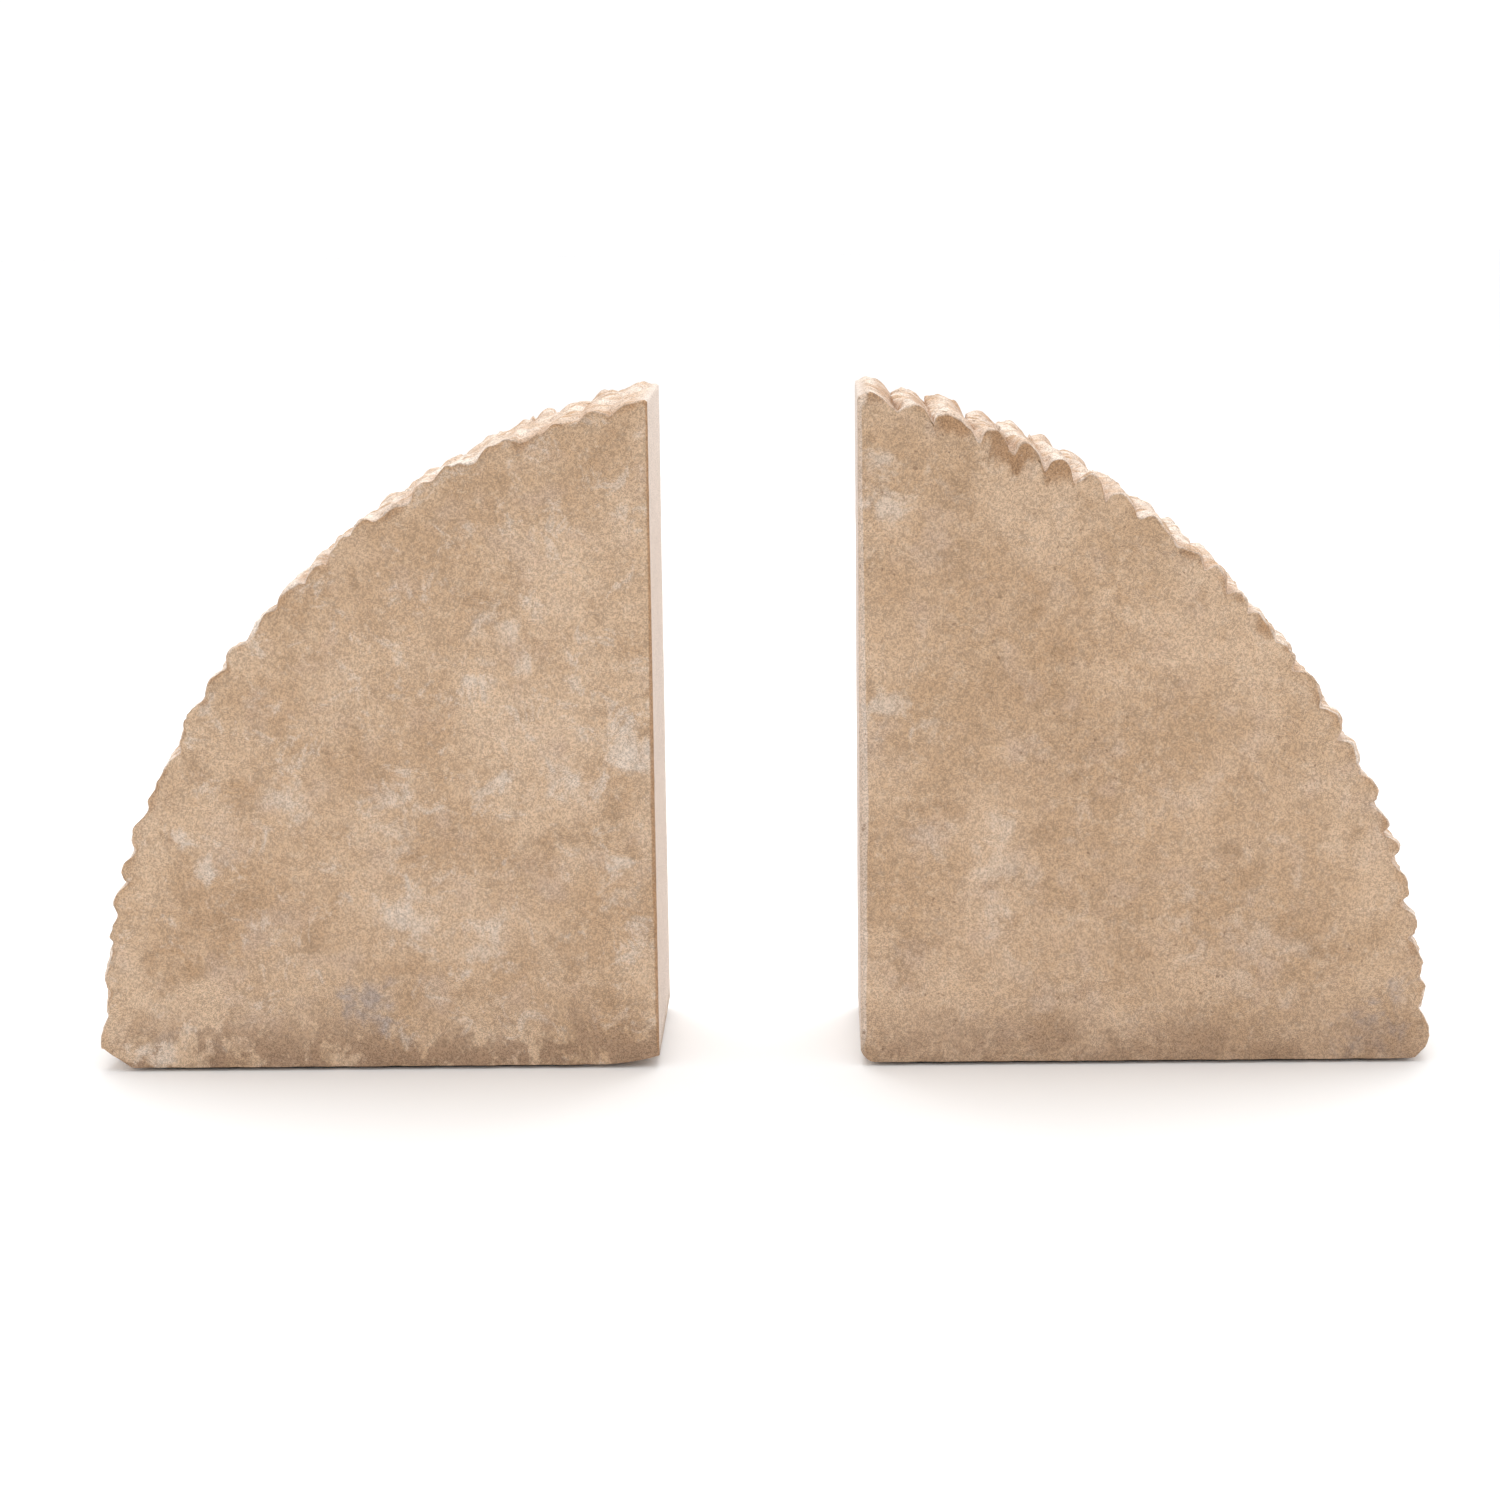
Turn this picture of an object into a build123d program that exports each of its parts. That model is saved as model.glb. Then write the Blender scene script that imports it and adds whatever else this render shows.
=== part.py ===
from build123d import *
from dataclasses import dataclass
from math import acos, asin, cos, hypot, sin
import os

# A pair of solid stone book ends. Each one is a quarter-round slab: flat front and back, a flat
# upright face against the books, a flat base, and an outer edge chiselled into rough flutes.
# +X runs along the row of books, +Y is the depth of the shelf and +Z is up. The origin is the
# middle of the pair, on the surface that both stand on. All sizes are in millimetres.

# Driving dimensions of the pair
thickness = 50.0           # depth of each stone, front face to back face
book_gap = 46.0            # clear space between the two upright faces as the pair is set out
felt_thickness = 0.8       # dark felt glued under each stone
felt_inset = 2.0           # how far the felt stays back from the edges of the flat base
crest_share = 0.56         # where a flute's crest lies between its two valleys, 0.5 is the middle


@dataclass
class Stone:
    """One stone's own sizes. Hand-cut stones of a pair differ by a millimetre or two."""
    height: float          # stone only, base to the top of the upright face
    reach: float           # upright face to the vertical tangent of the rounded edge
    centre_drop: float     # how far the rounded edge's centre lies under the base
    flute_depth: float     # crest to valley of the deepest flutes
    toe_rise: float        # height of the chipped corner at the outer end of the base
    toe_run: float         # length of that chip along the base
    heel_rise: float       # height of the worn corner under the upright face
    heel_run: float        # length of that wear along the base
    eased_edge: float      # bevel on the two upright edges beside the books
    strokes: int           # chisel strokes down the rounded edge, one a flute
    stroke_widths: tuple   # their widths, repeated down the edge and scaled to fill it
    stroke_shares: tuple   # their shares of the full depth, repeated down the edge


left_stone = Stone(
    height=151.4, reach=127.0, centre_drop=0.0, flute_depth=1.5,
    toe_rise=4.4, toe_run=6.3, heel_rise=2.1, heel_run=13.0, eased_edge=0.6,
    strokes=26, stroke_widths=(8.5, 7, 9, 6.5, 8, 10, 5.5), stroke_shares=(0.7, 1.0, 0.6, 0.9, 0.8),
)
right_stone = Stone(
    height=151.8, reach=129.3, centre_drop=2.0, flute_depth=2.0,
    toe_rise=2.8, toe_run=2.6, heel_rise=2.7, heel_run=2.7, eased_edge=1.6,
    strokes=25, stroke_widths=(9, 8.5, 10, 8, 9, 7.5), stroke_shares=(1.0, 0.8, 0.95, 0.7, 0.85),
)


def edge_arc(stone):
    """Radius of the rounded edge, and how far its centre lies past the upright face."""
    rise = stone.height + stone.centre_drop
    offset = (rise**2 - stone.reach**2) / (2 * stone.reach)
    return hypot(offset, rise), offset


def arc_point(stone, angle, lift):
    """The point of the rounded edge at an angle from upright, raised by lift along its radius."""
    radius, offset = edge_arc(stone)
    along = (radius + lift) * sin(angle) - offset
    up = (radius + lift) * cos(angle) - stone.centre_drop
    return along, up


def toe_angle(stone):
    """Where the rounded edge ends, at the top of the chip in the base's outer corner."""
    return acos((stone.toe_rise + stone.centre_drop) / edge_arc(stone)[0])


def flutes(stone):
    """The fluted edge from the top of the upright face down to the toe, one arc a flute."""
    radius, offset = edge_arc(stone)
    first = asin(offset / radius)
    kinds = len(stone.stroke_widths)
    widths = [stone.stroke_widths[number % kinds] for number in range(stone.strokes)]
    turn_per_width = (toe_angle(stone) - first) / sum(widths)
    angle = first
    start = arc_point(stone, first, 0)
    for number, width in enumerate(widths):
        share = stone.stroke_shares[number % len(stone.stroke_shares)]
        crest_lift = stone.flute_depth * share / 2
        crest = arc_point(stone, angle + crest_share * width * turn_per_width, crest_lift)
        angle += width * turn_per_width
        is_last = number == stone.strokes - 1
        end = arc_point(stone, angle, 0 if is_last else -crest_lift)
        ThreePointArc(start, crest, end)
        start = end


def stone_block(stone):
    """The stone, its upright face on X = 0 and its flat base on Z = 0, reaching out along +X."""
    toe_top = arc_point(stone, toe_angle(stone), 0)
    toe_foot = (toe_top[0] - stone.toe_run, 0)
    heel_foot = (stone.heel_run, 0)
    heel_top = (0, stone.heel_rise)
    heel_bulge = (stone.heel_run * 0.4, stone.heel_rise * 0.4)
    with BuildPart() as block:
        with BuildSketch(Plane.XZ):
            with BuildLine():
                flutes(stone)
                Line(toe_top, toe_foot)
                Line(toe_foot, heel_foot)
                ThreePointArc(heel_foot, heel_bulge, heel_top)
                Line(heel_top, (0, stone.height))
            make_face()
        extrude(amount=thickness / 2, both=True)
        upright_edges = block.edges().filter_by(Axis.Z).sort_by(Axis.X)[:2]
        chamfer(upright_edges, length=stone.eased_edge)
    return block.part


def base_felt(stone):
    """The felt sheet under the flat of the base, set in from its edges all round."""
    toe_x = arc_point(stone, toe_angle(stone), 0)[0]
    flat_start = stone.heel_run + felt_inset
    flat_end = toe_x - stone.toe_run - felt_inset
    sheet = Box(flat_end - flat_start, thickness - 2 * felt_inset, felt_thickness)
    return Pos((flat_start + flat_end) / 2, 0, -felt_thickness / 2) * sheet


def set_out(stone, side):
    """A stone and its felt on their side of the gap: side is 1 on the right, -1 on the left."""
    place = Pos(book_gap / 2, 0, felt_thickness)
    block, felt = place * stone_block(stone), place * base_felt(stone)
    if side < 0:
        block, felt = block.mirror(Plane.YZ), felt.mirror(Plane.YZ)
    return block, felt


left_block, left_felt = set_out(left_stone, -1)
right_block, right_felt = set_out(right_stone, 1)

# The two stones differ in reach, so the pair is slid along X until its box is centred.
centring = -(left_block.bounding_box().min.X + right_block.bounding_box().max.X) / 2
nodes = {
    "left_block": left_block,
    "left_base_felt": left_felt,
    "right_block": right_block,
    "right_base_felt": right_felt,
}

os.makedirs("parts", exist_ok=True)
for name, shape in nodes.items():
    placed = Pos(centring, 0, 0) * shape
    placed.label = name
    export_step(placed, f"parts/{name}.step")
    box = placed.bounding_box()
    print(name, "from", [round(v, 2) for v in box.min], "to", [round(v, 2) for v in box.max])
print("upright faces at X =", round(centring - book_gap / 2, 3), round(centring + book_gap / 2, 3))
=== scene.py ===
# %% [markdown]
# # A pair of chiselled stone book ends
# The construction model already holds both stones and their felts at their real size. This lesson
# gives them their looks: a honed front, a hammered and fluted outer edge, chipped rims, and stone
# that is coloured all the way through. Everything is in metres, in the construction model's frame.

# %% Load the construction model
import math

import bpy
import numpy as np
from mathutils import Matrix, Vector


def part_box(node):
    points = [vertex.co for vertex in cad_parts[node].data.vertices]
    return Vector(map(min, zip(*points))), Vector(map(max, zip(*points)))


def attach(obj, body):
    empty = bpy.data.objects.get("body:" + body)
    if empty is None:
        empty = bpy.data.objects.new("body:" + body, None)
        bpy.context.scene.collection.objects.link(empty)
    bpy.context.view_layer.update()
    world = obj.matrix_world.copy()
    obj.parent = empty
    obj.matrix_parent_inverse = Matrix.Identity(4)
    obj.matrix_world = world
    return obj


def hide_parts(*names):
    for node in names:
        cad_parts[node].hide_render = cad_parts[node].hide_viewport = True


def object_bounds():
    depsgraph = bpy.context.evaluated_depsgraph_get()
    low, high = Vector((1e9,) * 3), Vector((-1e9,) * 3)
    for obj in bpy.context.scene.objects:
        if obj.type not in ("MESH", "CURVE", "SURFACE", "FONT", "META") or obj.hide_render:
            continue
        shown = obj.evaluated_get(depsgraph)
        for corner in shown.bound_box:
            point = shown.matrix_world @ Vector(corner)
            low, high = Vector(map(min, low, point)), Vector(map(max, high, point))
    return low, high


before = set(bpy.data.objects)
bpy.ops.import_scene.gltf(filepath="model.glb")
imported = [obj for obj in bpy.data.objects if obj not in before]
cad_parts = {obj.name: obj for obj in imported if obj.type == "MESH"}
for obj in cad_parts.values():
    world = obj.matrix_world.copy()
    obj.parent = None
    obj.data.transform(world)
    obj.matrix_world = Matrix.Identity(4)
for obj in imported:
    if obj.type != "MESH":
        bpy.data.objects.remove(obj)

cad_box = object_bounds()
MM = 0.001
print("construction box", [round(v, 4) for v in cad_box[0]], [round(v, 4) for v in cad_box[1]])

# %% [markdown]
# Uneven stone needs noise that is the same on every run. The usual ways are a displacement texture
# or random numbers from a seed. Seeded lattice noise is chosen here, because numpy can work it out
# for a whole surface at once and the same field can then colour the stone as well as shape it.

# %% Smooth seeded noise
LATTICE = 256


def noise(a, b, cell, seed):
    """Value noise from -1 to 1: random values on a square lattice whose cells are cell wide,
    blended between the four corners round each point by the smooth step 3t^2 - 2t^3."""
    values = np.random.default_rng(seed).uniform(-1, 1, (LATTICE, LATTICE))
    p, q = np.asarray(a) / cell, np.asarray(b) / cell
    p, q = np.broadcast_arrays(p, q)
    i, j = np.floor(p).astype(int), np.floor(q).astype(int)
    s, t = p - i, q - j
    s, t = s * s * (3 - 2 * s), t * t * (3 - 2 * t)
    corner = lambda di, dj: values[(i + di) % LATTICE, (j + dj) % LATTICE]
    near = corner(0, 0) * (1 - s) + corner(1, 0) * s
    far = corner(0, 1) * (1 - s) + corner(1, 1) * s
    return near * (1 - t) + far * t


def step(value, low, high):
    """The smooth step from 0 at low to 1 at high."""
    t = np.clip((value - low) / (high - low), 0, 1)
    return t * t * (3 - 2 * t)


print("noise at a test point", round(float(noise(3.2, 1.7, 1.0, 5)), 4))

# %% [markdown]
# Camera first. It stands a little above the stones and to the right of the gap between them, looks
# slightly down, and is tilted by under half a degree, as a hand-set tripod is. A long lens keeps
# the two blocks nearly square on, so that only thin strips of their other faces show.

# %% Camera
FRONT_Y = cad_box[0].y
CAMERA_PLACE = Vector((13.4 * MM, FRONT_Y - 659.5 * MM, 203.7 * MM))
PITCH = math.radians(11.14)
ROLL = math.radians(-0.451)
LENS_PER_WIDTH = 2.0          # focal length over the width of the frame
SIDE_SHIFT = -0.048           # the lens slid sideways, as a share of the frame's width
SENSOR = 36.0


def camera_axes(pitch, roll):
    """The camera's right, up and back directions: looking along +Y, turned down by pitch, then
    turned about its own line of sight by roll."""
    right = Vector((1, 0, 0))
    up = Vector((0, math.sin(pitch), math.cos(pitch)))
    back = -Vector((0, math.cos(pitch), -math.sin(pitch)))
    turned_right = right * math.cos(roll) + up * math.sin(roll)
    turned_up = up * math.cos(roll) - right * math.sin(roll)
    return turned_right, turned_up, back


lens = bpy.data.cameras.new("camera")
lens.sensor_width = SENSOR
lens.lens = SENSOR * LENS_PER_WIDTH
lens.shift_x = SIDE_SHIFT
lens.clip_start = 0.01
camera = bpy.data.objects.new("camera", lens)
turned = Matrix(camera_axes(PITCH, ROLL)).transposed().to_4x4()
camera.matrix_world = Matrix.Translation(CAMERA_PLACE) @ turned
bpy.context.scene.collection.objects.link(camera)
bpy.context.scene.camera = camera
print("camera lens", lens.lens, "mm")

# %% [markdown]
# The outline of each stone is read back from the construction model, so that the detailed stone
# can't drift away from it. The solid is the same from front to back, so its corners, seen from the
# front, are its outline. They are put in order by their direction from a point well inside.

# %% Read a stone's outline
SAMPLES = 680                 # points round the outline
EDGE_DENSITY = 2.0            # the chiselled edge gets this many times the points of the flats
CORNER_KEEP = 2.5 * MM        # the flutes fade out this near the ends of the chiselled edge
FACE_SKIN = 0.5 * MM          # points nearer the upright face than this belong to it


def outline_of(node, side):
    """The closed outline as distance out from the upright face and height, starting in the middle
    of the upright face and running down it, along the base and back over the chiselled edge.
    Points are spread evenly by length, with the chiselled edge's length counted EDGE_DENSITY
    times."""
    low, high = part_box(node)
    face = high.x if side < 0 else low.x
    co = np.empty(len(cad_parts[node].data.vertices) * 3)
    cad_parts[node].data.vertices.foreach_get("co", co)
    co = co.reshape(-1, 3)
    flat = np.unique(np.round(np.c_[side * (co[:, 0] - face), co[:, 2]], 7), axis=0)
    inside = np.array([0.35 * (high.x - low.x), 0.35 * (high.z - low.z) + low.z])
    angle = np.arctan2(flat[:, 1] - inside[1], flat[:, 0] - inside[0])
    flat = flat[np.argsort((angle + math.pi) % (2 * math.pi))]
    closed = np.vstack([flat, flat[:1]])
    middle = (closed[1:] + closed[:-1]) / 2
    chiselled = (middle[:, 0] > FACE_SKIN) & (middle[:, 1] > low.z + 4 * MM)
    weight = np.where(chiselled, EDGE_DENSITY, 1.0)
    length = np.r_[0, np.cumsum(np.hypot(*np.diff(closed, axis=0).T) * weight)]
    wanted = np.linspace(0, length[-1], SAMPLES, endpoint=False)
    return face, np.c_[np.interp(wanted, length, closed[:, 0]), np.interp(wanted, length, closed[:, 1])]


# %% [markdown]
# The rounded edge is an arc with flutes cut into it. A circle fitted through the edge splits each
# point into a smooth place on the arc and a height above it, the relief. The relief can then be
# read a little further up or down the edge at every depth, so each flute wanders as a hand-held
# chisel does, without touching the flat faces.

# %% Split the edge into arc and relief
def fit_circle(points):
    """Centre and radius of the circle nearest the points: x^2 + z^2 = 2ax + 2bz + c is linear in
    a, b and c, and least squares solves it."""
    table = np.c_[2 * points, np.ones(len(points))]
    a, b, c = np.linalg.lstsq(table, (points**2).sum(1), rcond=None)[0]
    return np.array([a, b]), math.sqrt(c + a * a + b * b)


def split_edge(outline, base_z):
    """For every outline point: its share of the chiselled edge, from 0 on the flats to 1, its
    length down the edge, its outward direction and its relief over the fitted circle. Last comes
    the circle itself, with the lengths round it where the edge starts and how far it runs."""
    on_edge = (outline[:, 0] > FACE_SKIN) & (outline[:, 1] > base_z + 5 * MM)
    centre, radius = fit_circle(outline[on_edge])
    away = outline - centre
    reach = np.hypot(*away.T)
    down = np.arctan2(away[:, 0], away[:, 1]) * radius
    first, last = down[on_edge].min(), down[on_edge].max()
    share = step(down, first, first + CORNER_KEEP) * step(-down, -last - CORNER_KEEP, -last)
    share = np.where(on_edge, share, 0)
    arc = (centre, radius, first, last - first)
    return share, down - first, away / reach[:, None], np.where(on_edge, reach - radius, 0), arc


# %% [markdown]
# Chips break off where a rim is struck. Each one is a shallow bowl centred on the rim: it is
# deepest at the rim and ends in a crisp lip. Under every few chisel strokes one flake is missing
# from the flat face. Modelling them, and not only painting them, gives their lips real shadows.

# %% Chips along a rim
def chip_depth(place, inward, chips):
    """How deep the chips go at a length along the rim and a distance in from it. One chip is
    depth * (1 - ragged * ((along / half_width)^2 + (inward / reach)^2))^0.8, where that is above
    0, and ragged is noise round 1 that breaks up the chip's border."""
    total = np.zeros(np.broadcast(place, inward).shape)
    for middle, half_width, reach, depth in chips:
        seed = int(middle * 1e5)
        ragged = 1 + 0.3 * noise(place, inward, 1.7 * MM, seed % 9973)
        ragged = ragged + 0.25 * noise(place, inward, 0.7 * MM, seed % 7919)
        q = ((place - middle) / half_width) ** 2 + (inward / reach) ** 2
        total = np.maximum(total, depth * np.clip(1 - q * ragged, 0, 1) ** 0.8)
    return total


def rim_chips(edge_length, flats, seed, struck):
    """A chip for every 5 mm or so of the struck edge, plus the few large ones that are listed,
    and tiny nicks along the flats. Each is middle, half width, reach and depth."""
    dice = np.random.default_rng(seed)
    chips = [tuple(v * MM for v in chip) for chip in struck]
    for middle in np.arange(3 * MM, edge_length, 5.2 * MM):
        wide, far, deep = dice.uniform(1.2, 3.6), dice.uniform(0.6, 2.6), dice.uniform(0.2, 0.85)
        chips.append((middle + dice.uniform(-2, 2) * MM, wide * MM, far * MM, deep * MM))
    nicks = []
    for middle in np.arange(0, flats, 9 * MM):
        wide, far, deep = dice.uniform(0.8, 3.0), dice.uniform(0.3, 0.9), dice.uniform(0.08, 0.3)
        nicks.append((middle + dice.uniform(-4, 4) * MM, wide * MM, far * MM, deep * MM))
    return chips, nicks


# %% [markdown]
# One closed grid makes a whole stone. Its first parameter runs round the outline. Its second one
# runs from the middle of the front face out to the rim, round the worn rim, straight back across
# the chiselled edge, round the back rim and in to the middle of the back. Two parameters cover
# every face, so there are no seams to close but the two middles.

# %% Build a stone
FACE_INSETS = MM * np.array([
    56, 46, 36, 28, 21, 16, 12, 9.4, 7.4, 6, 5, 4.1, 3.4, 2.8, 2.2, 1.7, 1.2, 0.8, 0.4, 0.0])
FACE_SPAN = 60 * MM           # an inset of this much would reach the middle of the face
RIM_TURNS = np.radians([18, 40, 62, 80])
ACROSS = 74                   # rows across the thickness
SOFTEN = np.array([1, 2, 1.0])    # weights that round off the valleys' cusps
LIFT_RANGE = (-3.6 * MM, 1.1 * MM)    # the deepest cut and the highest crest
LIFT_FADE = 9 * MM            # the chisel's marks fade out this far in from the rim
MIDDLE_SHARE = 0.36           # the rays start this share of the way across and up the stone


def drawn_in(outline, inside, amount):
    """The outline with each point moved by amount towards the point inside. Every ray from that
    point meets the outline once, so the moved outline can't fold over itself."""
    away = outline - inside
    return outline - away / np.hypot(*away.T)[:, None] * np.asarray(amount)[:, None]


def face_rows(outline, rim, rim_y, inward_sign, inside, chips, nicks, arc, around):
    """Rows of one flat face, from near its middle to its rim. A row lies a fixed share of the way
    from the middle to the rim. It is sunk by the chips, each read at a point's own place along
    the arc and distance in from it, and by the last trace of honing."""
    start = drawn_in(outline, inside, rim)
    part = (1 - FACE_INSETS / FACE_SPAN)[:, None, None]
    flat = inside + (start - inside) * part
    inset = FACE_INSETS[:, None] * np.ones(len(outline))
    centre, radius, first, length = arc
    away = flat - centre
    along_arc = np.arctan2(away[..., 0], away[..., 1]) * radius - first
    from_arc = np.clip(radius - np.hypot(away[..., 0], away[..., 1]), 0, None)
    struck = step(along_arc, 0, CORNER_KEEP) * step(-along_arc, -length - CORNER_KEEP, -length)
    sunk = chip_depth(along_arc, from_arc, chips) * struck
    sunk = sunk + chip_depth(around[None], inset, nicks)
    honed = 0.05 * MM * noise(flat[..., 0], flat[..., 1], 11 * MM, 71)
    fade = step(inset, 0, 6 * MM)
    y = rim_y + inward_sign * (sunk + np.abs(honed) * fade)
    return np.concatenate([flat, y[..., None]], axis=2), sunk


def outward(outline, away, share):
    """Unit directions out of the outline: along the arc's radius on the chiselled edge, square to
    the outline on the flats, and a blend of the two where they meet."""
    tangent = np.roll(outline, -3, axis=0) - np.roll(outline, 3, axis=0)
    square = np.c_[tangent[:, 1], -tangent[:, 0]] / np.hypot(*tangent.T)[:, None]
    square = square * np.sign(((outline - outline.mean(0)) * square).sum(1))[:, None]
    normal = away * share[:, None] + square * (1 - share[:, None])
    return normal / np.hypot(*normal.T)[:, None]


def worn_rim(outline, around, down, share, base_z, look):
    """How far the rim is rounded at each outline point: nearly sharp on the flats, rougher along
    the struck edge, and eased beside the books by about the width of the bevel there. With it comes
    each point's share of the upright face, from 0 to 1."""
    by_books = step(-outline[:, 0], -3.5 * MM, 0.0) * step(outline[:, 1], base_z, base_z + 6 * MM)
    plain = (0.35 + 0.18 * noise(around, 0 * around, 4 * MM, look["seed"])) * MM
    struck = 0.55 + 0.35 * noise(down, 0 * down, 3 * MM, look["seed"] + 1)
    wear = plain * (1 - share) + share * struck * MM
    eased = by_books * look["eased"] * (1 + 0.12 * noise(around, 0 * around, 7 * MM, 3))
    return wear * (1 - by_books) + eased, by_books


def carve(deep, thickness, down, relief, share, look):
    """How far each point is lifted from the plain flutes. The relief is read from further along
    the edge, each stroke is cut deeper or left shallower, valleys open wider at both faces, and
    a hammered roughness lies over it all. With the lift come two masks for painted shade: hollow,
    from -1 on a crest to 1 in a valley, and flank, 1 where the surface falls away below a crest."""
    along = down[None] + 0 * deep

    def field(cell, number, a=deep, b=along):
        return noise(a, b, cell, look["seed"] + number)

    wander = (2.6 * field(17 * MM, 2) + 0.9 * field(6 * MM, 3)) * MM
    wander = wander * (0.5 + 0.5 * step(deep, 0, 9 * MM))
    order = np.argsort(down[share > 0])
    known_down, known_relief = down[share > 0][order], relief[share > 0][order]
    padded = np.pad(known_relief, len(SOFTEN) // 2, "edge")
    known_relief = np.convolve(padded, SOFTEN / SOFTEN.sum(), "valid")
    moved = np.interp(down[None] + wander, known_down, known_relief)
    ahead = np.interp(down[None] + wander + 0.8 * MM, known_down, known_relief)

    near_top = step(-down, -95 * MM, -40 * MM)
    strength = look["cut"] + look["top"] * near_top + look["uneven"] * field(9 * MM, 4, deep * 0.4)
    strokes = look["strokes"] * MM * field(4.6 * MM, 9, deep * 0.35)
    hammer = 0.55 * field(3.4 * MM, 5) + 0.34 * field(1.5 * MM, 6)
    bedding = 0.16 * field(0.9 * MM, 7, deep, down[None] * 0.08 + 0 * deep)
    valley = step(-moved, -0.1 * MM, 0.9 * MM)
    mouth = step(-deep, -7 * MM, 0) + step(deep, thickness - 7 * MM, thickness)
    mouth = mouth * valley * look["mouth"] * MM * (0.35 + 0.65 * step(-down, -100 * MM, -30 * MM))
    mouth = mouth * step(down, 5 * MM, 16 * MM) * (0.7 + 0.6 * field(7 * MM, 12, along, deep * 0.2))
    rough = (hammer + bedding - 0.15) * MM * look["rough"]
    lift = moved * strength - relief[None] + strokes - mouth + rough

    hollow = np.clip(-(moved * strength + strokes) / (0.8 * MM), -1, 1)
    flank = np.clip((moved - ahead) * strength / (0.5 * MM), 0, 1)
    return lift * share, hollow, flank


def build_stone(name, node, side, look):
    """Rows of points (distance out, height, depth) stacked from the middle of the front to the
    middle of the back, turned into x, y, z, closed at both middles by one point each."""
    low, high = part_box(node)
    face, outline = outline_of(node, side)
    share, down, away, relief, arc = split_edge(outline, low.z)
    around = np.r_[0, np.cumsum(np.hypot(*np.diff(outline, axis=0).T))]
    normal = outward(outline, away, share)
    inside = np.array([MIDDLE_SHARE * (high.x - low.x), MIDDLE_SHARE * (high.z - low.z) + low.z])
    edge_length = down[share > 0].max()
    rim, by_books = worn_rim(outline, around, down, share, low.z, look)

    # Both flat faces, each with its half of the worn rim.
    across = {}
    for end, y_face, sign in (("front", low.y, 1), ("back", high.y, -1)):
        seed = look["seed"] + (10 if sign > 0 else 20)
        chips, nicks = rim_chips(edge_length, around[-1], seed, look[end])
        block, sunk = face_rows(outline, rim, y_face, sign, inside, chips, nicks, arc, around)
        rim_depth = block[-1, :, 2]
        bends = np.stack([
            np.concatenate([
                drawn_in(outline, inside, rim * (1 - math.sin(turn))),
                (rim_depth + sign * rim * (1 - math.cos(turn)))[:, None],
            ], axis=1) for turn in RIM_TURNS])
        across[end] = (block, bends, rim_depth + sign * rim, sunk)

    # Straight back from the front rim to the back rim.
    t = np.linspace(0, 1, ACROSS)[:, None]
    y = across["front"][2] * (1 - t) + across["back"][2] * t
    sheet = np.concatenate([np.broadcast_to(outline, (ACROSS,) + outline.shape), y[..., None]], axis=2)
    body = np.concatenate([across["front"][0], across["front"][1], sheet,
                           across["back"][1][::-1], across["back"][0][::-1]])

    # The chiselled edge. Every point moves along its own ray from the inside point, so that no
    # move can fold the surface over itself.
    deep = body[..., 2] - low.y
    lift, hollow, flank = carve(deep, high.y - low.y, down, relief, share, look)
    row_in = np.concatenate([FACE_INSETS, np.zeros(len(RIM_TURNS) * 2 + ACROSS), FACE_INSETS[::-1]])
    near_rim = np.clip(1 - row_in / LIFT_FADE, 0, 1)[:, None]
    lift = np.clip(lift, *LIFT_RANGE) * near_rim
    ray = outline - inside
    ray /= np.hypot(*ray.T)[:, None]
    lean = np.clip((ray * away).sum(1), 0.6, 1)
    body[..., :2] += (lift / lean)[..., None] * ray[None]
    body[..., 0] = np.maximum(body[..., 0], 0)

    # The upright face and the base are sawn flat and only lightly uneven.
    sawn = (1 - share) * 0.06 * MM * noise(around[None] + 0 * deep, deep, 8 * MM, look["seed"] + 8)
    body[..., :2] -= (np.abs(sawn) * near_rim)[..., None] * normal[None]

    # Fields for the finish: chiselled, torn, hollow for painted shade, upright face for a painted highlight,
    # and flank for painted shade.
    pad = np.zeros((len(RIM_TURNS), SAMPLES))
    torn = np.concatenate([across["front"][3], pad + across["front"][3][-1], np.zeros((ACROSS, SAMPLES)),
                           pad + across["back"][3][-1], across["back"][3][::-1]])
    torn = np.clip(torn / (1.0 * MM), 0, 1)
    # The pale broken colour also reaches round the worn rims of the chiselled edge, where it is partly a
    # painted highlight along the rim line.
    on_sheet = np.zeros(len(body))
    first_bend = len(FACE_INSETS)
    on_sheet[first_bend:-first_bend] = 1
    on_sheet[first_bend] = on_sheet[-first_bend - 1] = 0.4
    cut = on_sheet[:, None] * share[None]
    on_rim = ((row_in == 0) & (np.abs(np.arange(len(body)) - len(body) / 2) > ACROSS / 2))[:, None]
    # The upright face beside the books gets a painted highlight, and its rim a share of it set per stone.
    upright = (on_sheet[:, None] * (1 - on_rim) + look["bevel_highlight"] * on_rim) * by_books[None]
    torn = np.maximum(torn, look["rim_stain"] * on_rim * by_books[None])
    fields = {"cut": cut, "torn": torn, "hollow": 0.5 + 0.5 * (hollow * cut), "upright": upright,
              "flank": flank * cut}
    ends = [[*inside, body[0, :, 2].mean()], [*inside, body[-1, :, 2].mean()]]
    return stitch(name, body, ends, face, side, fields, True)


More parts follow.
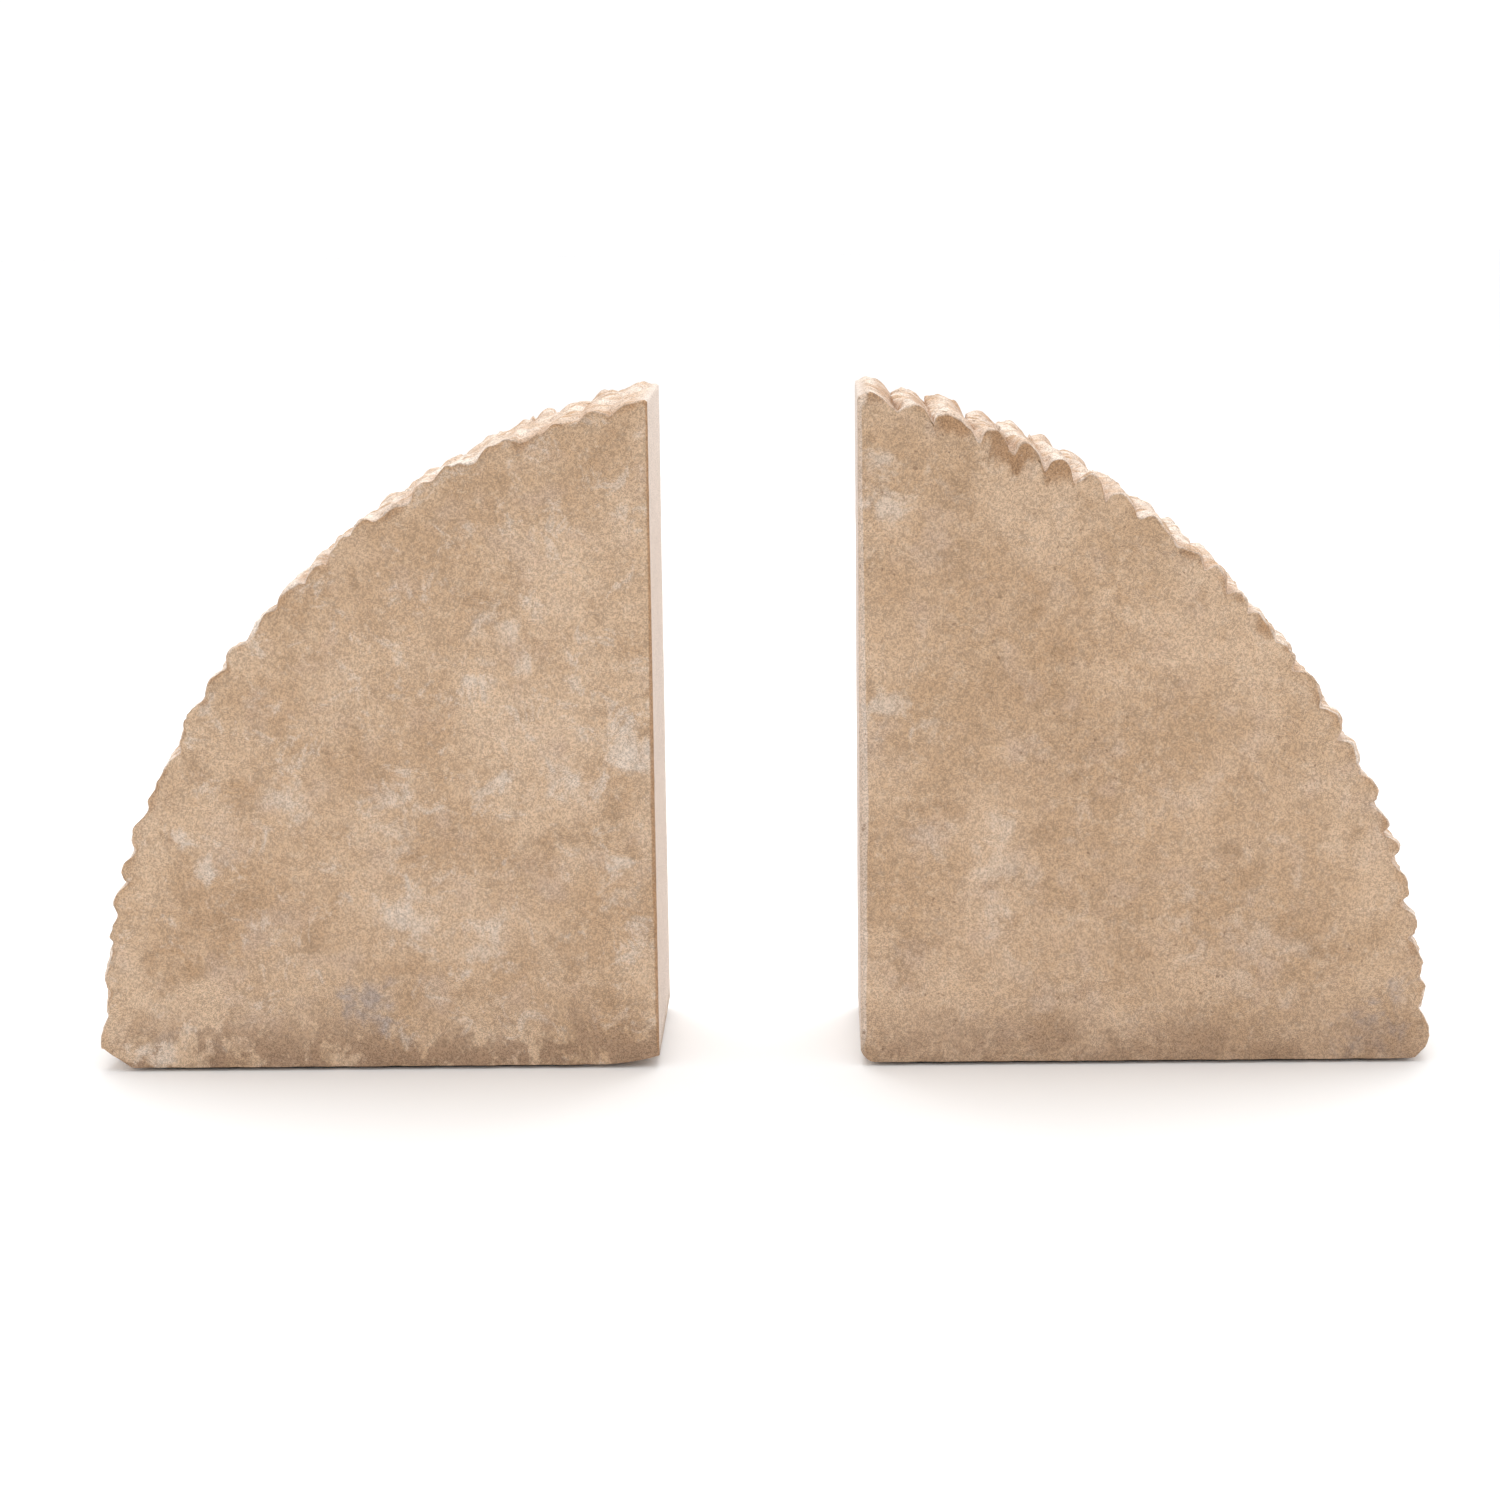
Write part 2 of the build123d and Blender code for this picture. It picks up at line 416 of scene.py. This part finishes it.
# %% Join rows into a closed mesh
def stitch(name, body, ends, face, side, fields, smooth):
    """Joins the rows into quads that wrap round, and closes both ends with a fan round a point.
    Rows hold the distance out from face towards side, the height and the depth."""
    rows, cols = body.shape[:2]
    flat = np.vstack([body.reshape(-1, 3), ends])
    points = np.c_[face + side * flat[:, 0], flat[:, 2], flat[:, 1]]
    r, c = np.meshgrid(np.arange(rows - 1), np.arange(cols), indexing="ij")
    here, beside = r * cols + c, r * cols + (c + 1) % cols
    quads = np.stack([here, beside, beside + cols, here + cols], axis=-1).reshape(-1, 4)
    start = np.arange(cols)
    after = (start + 1) % cols
    last_row = (rows - 1) * cols
    first = np.c_[np.full(cols, rows * cols), after, start]
    last = np.c_[np.full(cols, rows * cols + 1), last_row + start, last_row + after]
    if side > 0:
        quads, first, last = quads[:, ::-1], first[:, ::-1], last[:, ::-1]
    mesh = bpy.data.meshes.new(name)
    mesh.from_pydata(points.tolist(), [], quads.tolist() + first.tolist() + last.tolist())
    mesh.validate()
    mesh.polygons.foreach_set("use_smooth", np.full(len(mesh.polygons), smooth))
    for field, values in fields.items():
        layer = mesh.attributes.new(field, "FLOAT", "POINT")
        layer.data.foreach_set("value", np.r_[values.ravel(), values[0].mean(), values[-1].mean()])
    piece = bpy.data.objects.new(name, mesh)
    bpy.context.scene.collection.objects.link(piece)
    volume = sum_volume(mesh)
    print(name, len(mesh.polygons), "faces, signed volume", round(volume * 1e6, 2), "cm3")
    return piece


def sum_volume(mesh):
    """Signed volume: the sum over triangles of a . (b x c) / 6, positive when faces point out."""
    mesh.calc_loop_triangles()
    co = np.empty(len(mesh.vertices) * 3)
    mesh.vertices.foreach_get("co", co)
    tri = np.empty(len(mesh.loop_triangles) * 3, int)
    mesh.loop_triangles.foreach_get("vertices", tri)
    a, b, c = co.reshape(-1, 3)[tri.reshape(-1, 3)].transpose(1, 0, 2)
    return float((a * np.cross(b, c)).sum() / 6)


# %% [markdown]
# The two stones differ as two hand-cut stones do. The left one's flutes are shallow and its edge
# is softer. The right one's are deeper, a few large flakes are gone from its front near the top,
# and its edges beside the books were rubbed down wider. A struck chip is its place down the edge,
# half width, reach and depth in millimetres.

# %% The two stones
LEFT = {
    "seed": 11, "rough": 1.0, "cut": 0.62, "top": 0.1, "strokes": 0.9, "uneven": 0.8, "mouth": 0.5,
    "eased": 0.7 * MM, "rim_stain": 0.95, "bevel_highlight": 0.0,
    "front": ((4, 6, 1.6, 0.8), (30, 8, 2.2, 0.7), (62, 5, 2.5, 0.9), (96, 4, 2.0, 0.7), (150, 5, 2.0, 0.6)),
    "back": ((20, 6, 2.5, 0.9), (70, 7, 3.0, 1.1), (120, 5, 2.4, 0.8)),
}
RIGHT = {
    "seed": 47, "rough": 1.1, "cut": 1.15, "top": 0.5, "strokes": 0.6, "uneven": 0.6, "mouth": 1.3,
    "eased": 1.7 * MM, "rim_stain": 0.0, "bevel_highlight": 0.45,
    "front": ((21, 5.5, 4.0, 1.3), (35, 6.5, 6.2, 1.9), (47, 5.0, 4.2, 1.4), (82, 3.6, 2.4, 0.9),
              (106, 3.8, 2.8, 1.0), (128, 4.2, 2.0, 0.8), (160, 4.0, 2.2, 0.8)),
    "back": ((15, 5, 2.6, 1.0), (54, 7, 3.4, 1.2), (110, 5, 2.8, 0.9), (165, 6, 2.4, 0.8)),
}
left_stone = build_stone("left_stone", "left_block", -1, LEFT)
right_stone = build_stone("right_stone", "right_block", 1, RIGHT)

# %% [markdown]
# Under each stone lies a sheet of dark felt. Its edge is cut with scissors, so it is slightly
# wavy, and its corners are rounded. A rounded slab whose outline is a superellipse keeps it one
# closed surface, and its underside stays flat on the shelf.

# %% Felt sheets
FELT_RINGS = (                # share of the half width, share of the half thickness
    (0.4, 1.0), (0.7, 1.0), (0.9, 1.0), (0.985, 1.0), (0.997, 0.8), (1.0, 0.3),
    (1.0, -0.4), (0.996, -0.9), (0.985, -1.0), (0.9, -1.0), (0.6, -1.0), (0.3, -1.0),
)
FELT_ROUND = 1 / 9            # the superellipse's power: the smaller, the squarer the corners


def build_felt(name, node):
    """Outline point at angle a: (|cos a|^(1/9), |sin a|^(1/9)) times the half sizes, which is a
    rectangle with rounded corners. Rows run from the middle of the top over the edge and under."""
    low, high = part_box(node)
    middle, half = (low + high) / 2, (high - low) / 2
    a = np.linspace(0, 2 * math.pi, 420, endpoint=False)
    x = np.sign(np.cos(a)) * np.abs(np.cos(a)) ** FELT_ROUND
    y = np.sign(np.sin(a)) * np.abs(np.sin(a)) ** FELT_ROUND
    wave = 1 - 0.003 * (1 + noise(a, 0 * a, 0.07, 9))
    body = np.stack([
        np.c_[half.x * x * wave * share, half.z * height + 0 * a, half.y * y * wave * share]
        for share, height in FELT_RINGS])
    body += np.array([middle.x, middle.z, middle.y])
    fields = {"edge": np.stack([0 * a + (share > 0.99) for share, height in FELT_RINGS])}
    ends = [[middle.x, middle.z + half.z, middle.y], [middle.x, middle.z - half.z, middle.y]]
    return stitch(name, body, ends, 0.0, 1, fields, False)


left_felt = build_felt("left_felt", "left_base_felt")
right_felt = build_felt("right_felt", "right_base_felt")

# %% [markdown]
# Effects that both stones share are node groups: the sugary grain, one mineral blotch, and the
# colour of freshly broken stone, which is partly a painted highlight. A group hands out only
# colours, masks and heights, and the shader itself stays in each stone's own material.

# %% Helpers for node groups
def new_group(name, inputs, outputs):
    """An empty shader group. Each input is (name, type, value) and each output is (name, type)."""
    group = bpy.data.node_groups.new(name, "ShaderNodeTree")
    for label, kind, value in inputs:
        socket = group.interface.new_socket(label, in_out="INPUT", socket_type=kind)
        if value is not None:
            socket.default_value = value
    for label, kind in outputs:
        group.interface.new_socket(label, in_out="OUTPUT", socket_type=kind)
    return group, group.nodes.new("NodeGroupInput"), group.nodes.new("NodeGroupOutput")


def put(tree, kind, **values):
    """A node with its properties and its sockets set by name. A key that starts with in_ and a
    number sets that input by its place."""
    node = tree.nodes.new(kind)
    for key, value in values.items():
        if key.startswith("in_"):
            target = node.inputs[int(key[3:])]
            if hasattr(value, "is_output"):
                tree.links.new(value, target)
            else:
                target.default_value = value
        else:
            setattr(node, key, value)
    return node


def math_node(tree, operation, a, b=0.0, c=0.0):
    """One sum on values or sockets."""
    node = put(tree, "ShaderNodeMath", operation=operation, in_0=a, in_1=b, in_2=c)
    return node.outputs[0]


def ramp(tree, value, low, high, to_low=0.0, to_high=1.0):
    """A smooth step from to_low at low to to_high at high."""
    node = put(tree, "ShaderNodeMapRange", interpolation_type="SMOOTHSTEP",
               in_0=value, in_1=low, in_2=high, in_3=to_low, in_4=to_high)
    return node.outputs[0]


def blend(tree, factor, a, b, mode="MIX"):
    """Mixes two colours. Sockets 6 and 7 of the Mix node are its two colours, output 2 is theirs."""
    node = put(tree, "ShaderNodeMix", data_type="RGBA", blend_type=mode, in_0=factor, in_6=a, in_7=b)
    return node.outputs[2]


def texture(tree, place, scale, detail=3.0, rough=0.6, warp=0.0):
    """Noise with scale waves to the metre."""
    node = put(tree, "ShaderNodeTexNoise", in_0=place, in_2=scale, in_3=detail, in_4=rough)
    node.inputs["Distortion"].default_value = warp
    return node.outputs[0]


# %% [markdown]
# **Grain.** The stone is packed sand. Grains are 0.2 to 0.6 mm across, mostly tan, with a few pale
# quartz ones and sparse dark brown ones. Two noises at the size of a grain and one at a few grains
# give the shade, and the same field, as a height, makes the face sparkle dully in raking light.

# %% Grain group
GRAIN, _, _ = new_group("sand_grain", [
    ("Place", "NodeSocketVector", None), ("Specks", "NodeSocketFloat", 1.0)], [
    ("Shade", "NodeSocketFloat"), ("Dark", "NodeSocketFloat"), ("Pale", "NodeSocketFloat"),
    ("Height", "NodeSocketFloat")])
inp, out = GRAIN.nodes[0], GRAIN.nodes[1]
fine = texture(GRAIN, inp.outputs[0], 4200.0, 2.0, 0.7)
grit = texture(GRAIN, inp.outputs[0], 2100.0, 2.0, 0.6)
cloud = texture(GRAIN, inp.outputs[0], 420.0, 4.0, 0.65)
fine, grit = math_node(GRAIN, "MULTIPLY", fine, 0.4), math_node(GRAIN, "MULTIPLY", grit, 0.45)
total = math_node(GRAIN, "ADD", fine, grit)
total = math_node(GRAIN, "ADD", total, math_node(GRAIN, "MULTIPLY", cloud, 0.15))
GRAIN.links.new(ramp(GRAIN, total, 0.36, 0.64), out.inputs["Shade"])
speck = texture(GRAIN, inp.outputs[0], 800.0, 2.0, 0.5)
where = ramp(GRAIN, texture(GRAIN, inp.outputs[0], 45.0, 2.0), 0.42, 0.62, 0.3, 1.0)
dark = math_node(GRAIN, "MULTIPLY", ramp(GRAIN, speck, 0.635, 0.70), where)
GRAIN.links.new(math_node(GRAIN, "MULTIPLY", dark, inp.outputs[1]), out.inputs["Dark"])
GRAIN.links.new(ramp(GRAIN, texture(GRAIN, inp.outputs[0], 2600.0, 2.0), 0.60, 0.74), out.inputs["Pale"])
GRAIN.links.new(total, out.inputs["Height"])
print("grain group has", len(GRAIN.nodes), "nodes")

# %% [markdown]
# **Blotches.** Lime and iron gather in clouds inside the stone, so each blotch is a ball in space
# and not a spot on a face: it shows on every face that it reaches. A blotch appears where a fine
# noise plus the nearness of its middle passes a threshold. Its border then follows the noise, in
# ragged wisps, where a plain soft ball would look like a spot of light.

# %% Blotch group
BLOTCH, _, _ = new_group("mineral_blotch", [
    ("Place", "NodeSocketVector", None), ("Middle", "NodeSocketVector", None),
    ("Radius", "NodeSocketFloat", 0.008), ("Size", "NodeSocketFloat", 130.0)], [
    ("Mask", "NodeSocketFloat")])
inp, out = BLOTCH.nodes[0], BLOTCH.nodes[1]
apart = put(BLOTCH, "ShaderNodeVectorMath", operation="DISTANCE", in_0=inp.outputs[0], in_1=inp.outputs[1])
nearness = math_node(BLOTCH, "DIVIDE", apart.outputs["Value"], inp.outputs[2])
nearness = math_node(BLOTCH, "SUBTRACT", 1.0, nearness)
nearness = math_node(BLOTCH, "MAXIMUM", math_node(BLOTCH, "MULTIPLY", nearness, 0.22), -0.2)
wisp = texture(BLOTCH, inp.outputs[0], inp.outputs[3], 7.0, 0.66, 0.35)
mask = ramp(BLOTCH, math_node(BLOTCH, "ADD", wisp, nearness), 0.56, 0.76)
BLOTCH.links.new(mask, out.inputs["Mask"])

# %% [markdown]
# ** Broken stone.** Where a chisel or a knock has opened the stone it is paler and pinker than the
# honed face, with thin beds of ochre and brown parallel to the front. The paleness is partly a
# painted highlight on the top-lit edge. The hollows and flanks of the flutes get painted shade.

# %% Broken stone and highlight group
BROKEN_AND_HIGHLIGHT, _, _ = new_group("broken_stone_and_highlight", [("Place", "NodeSocketVector", None)], [
    ("Colour", "NodeSocketColor"), ("Height", "NodeSocketFloat")])
inp, out = BROKEN_AND_HIGHLIGHT.nodes[0], BROKEN_AND_HIGHLIGHT.nodes[1]
beds = put(BROKEN_AND_HIGHLIGHT, "ShaderNodeMapping", in_0=inp.outputs[0])
beds.inputs["Scale"].default_value = (0.10, 1.0, 0.10)
bed = texture(BROKEN_AND_HIGHLIGHT, beds.outputs[0], 620.0, 3.0, 0.55, 0.3)
patch = texture(BROKEN_AND_HIGHLIGHT, inp.outputs[0], 120.0, 4.0, 0.6)
# The paler colour is partly the fresh stone's own and partly a painted highlight on the top-lit edge.
colour = blend(BROKEN_AND_HIGHLIGHT, ramp(BROKEN_AND_HIGHLIGHT, patch, 0.35, 0.66), (0.60, 0.45, 0.34, 1), (0.80, 0.71, 0.63, 1))
colour = blend(BROKEN_AND_HIGHLIGHT, ramp(BROKEN_AND_HIGHLIGHT, bed, 0.53, 0.62, 0.0, 0.7), colour, (0.48, 0.29, 0.16, 1))
BROKEN_AND_HIGHLIGHT.links.new(colour, out.inputs["Colour"])
height = math_node(BROKEN_AND_HIGHLIGHT, "ADD", bed, math_node(BROKEN_AND_HIGHLIGHT, "MULTIPLY", patch, 0.5))
BROKEN_AND_HIGHLIGHT.links.new(height, out.inputs["Height"])
print("groups", [g.name for g in bpy.data.node_groups])

# %% [markdown]
# The stone's own material puts these together: a tan ground with soft clouds, blotches where this
# stone has them, a darker band near the base, then grain on everything. Fields stored on the mesh
# say where the surface is chiselled or torn, and where painted shade and a painted highlight go.
# Stone has no gloss to speak of.

# %% Stone material
ROSY = (0.47, 0.35, 0.275, 1)         # pinkish grey clouds
UMBER = (0.34, 0.215, 0.125, 1)       # brown clouds
FLECK = (0.36, 0.225, 0.13, 1)        # small brown flecks
SAND = (0.60, 0.475, 0.36, 1)         # small pale flecks
WISP = (0.60, 0.51, 0.435, 1)         # lime veins
BASE_DARK = (0.30, 0.19, 0.12, 1)          # the darker band near the base
TORN = (0.34, 0.19, 0.095, 1)         # iron stain in broken places
UPRIGHT_HIGHLIGHT = (0.74, 0.66, 0.605, 1)      # painted highlight on the sawn face beside the books
FLUTE_SHADE = (0.38, 0.22, 0.125, 1)         # painted shade in the hollows and on the falling flanks of the flutes
SPECK = (0.20, 0.12, 0.075, 1)        # dark grains
QUARTZ = (0.66, 0.56, 0.46, 1)        # pale grains


def stone_material(name, ground, cloud, blotches, specks, veins, base_dark_range, base_z):
    """A finish for one stone: its two ground colours, its blotches, how many specks and veins it
    has, and how strongly the darker band near the base shows between and on its patches."""
    material = bpy.data.materials.new(name)
    material.use_nodes = True
    tree = material.node_tree
    shader = tree.nodes["Principled BSDF"]
    place = put(tree, "ShaderNodeTexCoord").outputs["Object"]
    grain = put(tree, "ShaderNodeGroup", node_tree=GRAIN, in_0=place, in_1=specks)
    broken_and_highlight = put(tree, "ShaderNodeGroup", node_tree=BROKEN_AND_HIGHLIGHT, in_0=place)

    # Ground: two tans in wide clouds, then smaller clouds, flecks and veins.
    colour = blend(tree, ramp(tree, texture(tree, place, 34.0, 5.0, 0.62), 0.36, 0.66), ground, cloud)
    rosy = ramp(tree, texture(tree, place, 105.0, 4.0, 0.65), 0.5, 0.72, 0.0, 0.5)
    colour = blend(tree, rosy, colour, ROSY)
    brown = ramp(tree, texture(tree, place, 95.0, 7.0, 0.72), 0.52, 0.66, 0.0, 0.55)
    colour = blend(tree, brown, colour, UMBER)
    flecks = ramp(tree, texture(tree, place, 420.0, 6.0, 0.8), 0.50, 0.64, 0.0, 0.32)
    colour = blend(tree, flecks, colour, FLECK)
    paler = ramp(tree, texture(tree, place, 340.0, 6.0, 0.8, 0.2), 0.52, 0.64, 0.0, 0.3)
    colour = blend(tree, paler, colour, SAND)
    wisps = ramp(tree, texture(tree, place, 130.0, 9.0, 0.76, 0.6), 0.53, 0.63, 0.0, veins)
    colour = blend(tree, wisps, colour, WISP)

    # Blotches: the middle in millimetres, the radius, how strong and what colour.
    for x, y, z, radius, strength, tint in blotches:
        spot = put(tree, "ShaderNodeGroup", node_tree=BLOTCH, in_0=place,
                   in_1=(x * MM, y * MM, z * MM), in_2=radius * MM)
        mask = math_node(tree, "MULTIPLY", spot.outputs[0], strength)
        colour = blend(tree, mask, colour, tint)

    # Darker towards the base, in a band with ragged upward runs.
    split = put(tree, "ShaderNodeSeparateXYZ", in_0=place)
    wavy = math_node(tree, "SUBTRACT", texture(tree, place, 60.0, 3.0), 0.5)
    wavy = math_node(tree, "MULTIPLY", wavy, 0.012)
    height = math_node(tree, "ADD", split.outputs[2], wavy)
    near_base = ramp(tree, height, base_z, base_z + 19 * MM, 1.0, 0.0)
    upward = put(tree, "ShaderNodeMapping", in_0=place)
    upward.inputs["Scale"].default_value = (1.0, 1.0, 0.8)
    runs = texture(tree, upward.outputs[0], 135.0, 9.0, 0.7, 0.5)
    base_darkening = math_node(tree, "MULTIPLY", near_base, ramp(tree, runs, 0.54, 0.46, *base_dark_range))
    colour = blend(tree, base_darkening, colour, BASE_DARK)

    # Chiselled and torn places, a painted highlight on the face beside the books, and painted shade in the
    # flutes.
    cut = put(tree, "ShaderNodeAttribute", attribute_name="cut").outputs["Fac"]
    torn = put(tree, "ShaderNodeAttribute", attribute_name="torn").outputs["Fac"]
    hollow = put(tree, "ShaderNodeAttribute", attribute_name="hollow").outputs["Fac"]
    colour = blend(tree, math_node(tree, "MULTIPLY", torn, 0.8), colour, TORN)
    colour = blend(tree, math_node(tree, "MULTIPLY", cut, 0.85), colour, broken_and_highlight.outputs["Colour"])
    # Painted highlight on the upright face beside the books and on the right stone's bevel.
    upright = put(tree, "ShaderNodeAttribute", attribute_name="upright").outputs["Fac"]
    colour = blend(tree, math_node(tree, "MULTIPLY", upright, 0.75), colour, UPRIGHT_HIGHLIGHT)
    flank = put(tree, "ShaderNodeAttribute", attribute_name="flank").outputs["Fac"]
    # Painted shade: the flutes' hollows and the flanks falling away below their crests are darkened.
    painted_flute_shade = math_node(tree, "MULTIPLY", ramp(tree, hollow, 0.6, 1.0, 0.0, 0.35), cut)
    painted_flute_shade = math_node(tree, "MAXIMUM", painted_flute_shade, math_node(tree, "MULTIPLY", flank, 0.5))
    colour = blend(tree, painted_flute_shade, colour, FLUTE_SHADE)

    # Grain goes over everything.
    shade = ramp(tree, grain.outputs["Shade"], 0.0, 1.0, 0.72, 1.30)
    toned = put(tree, "ShaderNodeVectorMath", operation="SCALE", in_0=colour)
    tree.links.new(shade, toned.inputs["Scale"])
    dark = math_node(tree, "MULTIPLY", grain.outputs["Dark"], 0.7)
    pale = math_node(tree, "MULTIPLY", grain.outputs["Pale"], 0.35)
    colour = blend(tree, dark, toned.outputs[0], SPECK)
    colour = blend(tree, pale, colour, QUARTZ)
    tree.links.new(colour, shader.inputs["Base Color"])

    rough = math_node(tree, "ADD", 0.78, math_node(tree, "MULTIPLY", grain.outputs["Shade"], 0.12))
    rough = math_node(tree, "ADD", rough, math_node(tree, "MULTIPLY", cut, 0.08))
    tree.links.new(rough, shader.inputs["Roughness"])
    shader.inputs["Specular IOR Level"].default_value = 0.3
    rise = math_node(tree, "MULTIPLY", broken_and_highlight.outputs["Height"], math_node(tree, "MULTIPLY", cut, 1.6))
    rise = math_node(tree, "ADD", grain.outputs["Height"], rise)
    bump = put(tree, "ShaderNodeBump")
    bump.inputs["Strength"].default_value = 0.55
    bump.inputs["Distance"].default_value = 0.25 * MM
    tree.links.new(rise, bump.inputs["Height"])
    tree.links.new(bump.outputs[0], shader.inputs["Normal"])
    print(name, len(tree.nodes), "nodes")
    return material


# %% [markdown]
# Each stone has its own list of blotches, with their middles and radii in whole millimetres. The
# left stone has whitish lime clouds and rusty patches, most of them low down. The right one is
# more even, with a warm cloud in its upper half and a purple-grey corner at the toe.

# %% Markings of the two stones
LIME = (0.62, 0.525, 0.445, 1)
RUST = (0.37, 0.225, 0.12, 1)
GREY = (0.32, 0.27, 0.25, 1)
LEFT_MARKS = (
    (-107, -24, 62, 11, 0.6, LIME), (-83, -24, 56, 13, 0.5, LIME), (-47, -22, 70, 15, 0.4, LIME),
    (-32, -24, 74, 10, 0.6, LIME), (-55, -24, 99, 14, 0.4, LIME), (-80, -24, 34, 12, 0.5, LIME),
    (-62, -24, 29, 10, 0.5, LIME), (-31, -24, 41, 11, 0.5, LIME), (-127, -24, 49, 9, 0.6, LIME),
    (-138, -24, 6, 8, 0.5, LIME), (-90, -24, 16, 12, 0.7, GREY), (-116, -24, 66, 9, 0.6, RUST),
    (-130, -24, 24, 10, 0.6, RUST), (-33, -24, 6, 8, 0.7, RUST), (-60, 24, 80, 31, 0.5, LIME),
    (-98, 24, 30, 20, 0.7, RUST),
)
RIGHT_MARKS = (
    (28, -24, 135, 10, 0.5, LIME), (29, -24, 84, 9, 0.5, LIME), (54, -24, 48, 16, 0.3, LIME),
    (68, -24, 98, 28, 0.5, RUST), (143, -24, 9, 14, 0.7, GREY), (112, -24, 30, 23, 0.2, LIME),
    (90, 24, 60, 27, 0.6, RUST), (50, 24, 90, 27, 0.4, LIME),
)
base_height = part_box("left_block")[0].z
left_finish = stone_material(
    "left_sandstone", (0.445, 0.296, 0.184, 1), (0.555, 0.40, 0.276, 1),
    LEFT_MARKS, 0.4, 0.45, (0.0, 0.9), base_height)
right_finish = stone_material(
    "right_sandstone", (0.44, 0.292, 0.18, 1), (0.545, 0.387, 0.264, 1),
    RIGHT_MARKS, 1.0, 0.15, (0.4, 0.75), base_height)

# %% [markdown]
# **Felt.** Pressed wool fibres, almost black. Long thin noise in two directions stands for the
# fibres, and the cut edge is a little lighter where it frays. Sheen gives felt its soft rim light.

# %% Felt material
def felt_material():
    """Near-black wool, lighter where the cut edge frays."""
    material = bpy.data.materials.new("dark_felt")
    material.use_nodes = True
    tree = material.node_tree
    shader = tree.nodes["Principled BSDF"]
    place = put(tree, "ShaderNodeTexCoord").outputs["Object"]
    fibres = []
    for turn in (0.5, 2.1):
        lay = put(tree, "ShaderNodeMapping", in_0=place)
        lay.inputs["Rotation"].default_value = (0, 0, turn)
        lay.inputs["Scale"].default_value = (0.15, 1.0, 0.6)
        fibres.append(texture(tree, lay.outputs[0], 2600.0, 3.0, 0.6, 0.6))
    nap = math_node(tree, "MAXIMUM", fibres[0], fibres[1])
    edge = put(tree, "ShaderNodeAttribute", attribute_name="edge").outputs["Fac"]
    colour = blend(tree, ramp(tree, nap, 0.4, 0.75), (0.008, 0.008, 0.008, 1), (0.045, 0.042, 0.04, 1))
    colour = blend(tree, math_node(tree, "MULTIPLY", edge, 0.4), colour, (0.05, 0.045, 0.04, 1))
    tree.links.new(colour, shader.inputs["Base Color"])
    shader.inputs["Roughness"].default_value = 0.95
    shader.inputs["Sheen Weight"].default_value = 0.3
    bump = put(tree, "ShaderNodeBump")
    bump.inputs["Strength"].default_value = 0.6
    bump.inputs["Distance"].default_value = 0.1 * MM
    tree.links.new(nap, bump.inputs["Height"])
    tree.links.new(bump.outputs[0], shader.inputs["Normal"])
    return material


felt_finish = felt_material()

# %% [markdown]
# Now each piece gets its finish and goes onto the body that it moves with. Each one stands for the
# construction model's plain solid in the same place.

# %% Put every piece on its body
for piece, finish, body, node, slot in (
    (left_stone, left_finish, "left_book_end", "left_block", "stone_left"),
    (left_felt, felt_finish, "left_book_end", "left_base_felt", "felt"),
    (right_stone, right_finish, "right_book_end", "right_block", "stone_right"),
    (right_felt, felt_finish, "right_book_end", "right_base_felt", "felt"),
):
    piece.data.materials.append(finish)
    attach(piece, body)
    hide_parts(node)
    print(piece.name, "rides on", body)

# %% [markdown]
# A white studio. A pale floor runs far behind the stones, a bright sky lights them from all round,
# and a large soft lamp above and behind whitens their tops while the fronts stay a calm tan.

# %% Floor and light
FLOOR_HALF = 6.0
floor_mesh = bpy.data.meshes.new("studio_floor")
floor_mesh.from_pydata([(-FLOOR_HALF, -FLOOR_HALF, 0), (FLOOR_HALF, -FLOOR_HALF, 0),
                        (FLOOR_HALF, FLOOR_HALF, 0), (-FLOOR_HALF, FLOOR_HALF, 0)], [], [(0, 1, 2, 3)])
floor = bpy.data.objects.new("studio_floor", floor_mesh)
bpy.context.scene.collection.objects.link(floor)
floor_finish = bpy.data.materials.new("studio_floor")
floor_finish.use_nodes = True
floor_shader = floor_finish.node_tree.nodes["Principled BSDF"]
floor_shader.inputs["Base Color"].default_value = (0.93, 0.93, 0.93, 1)
floor_shader.inputs["Roughness"].default_value = 0.9
floor_mesh.materials.append(floor_finish)

sky = bpy.data.worlds.new("studio_sky")
sky.use_nodes = True
sky.node_tree.nodes["Background"].inputs["Color"].default_value = (1, 1, 1, 1)
sky.node_tree.nodes["Background"].inputs["Strength"].default_value = 1.08
bpy.context.scene.world = sky


def soft_lamp(name, place, aim, size, power):
    """A square area lamp at place, turned so that it shines towards aim."""
    light = bpy.data.lights.new(name, "AREA")
    light.size = size
    light.energy = power
    lamp = bpy.data.objects.new(name, light)
    lamp.rotation_euler = (Vector(aim) - Vector(place)).to_track_quat("-Z", "Y").to_euler()
    lamp.location = place
    bpy.context.scene.collection.objects.link(lamp)
    return lamp


soft_lamp("top_lamp", (0.0, 0.35, 1.2), (0, 0, 0.08), 0.9, 7.0)
soft_lamp("right_back_lamp", (0.65, 1.0, 0.45), (0, 0, 0.08), 0.6, 1.6)
soft_lamp("left_back_lamp", (-0.65, 1.0, 0.45), (0, 0, 0.08), 0.6, 1.2)
bpy.context.scene.view_settings.view_transform = "Standard"
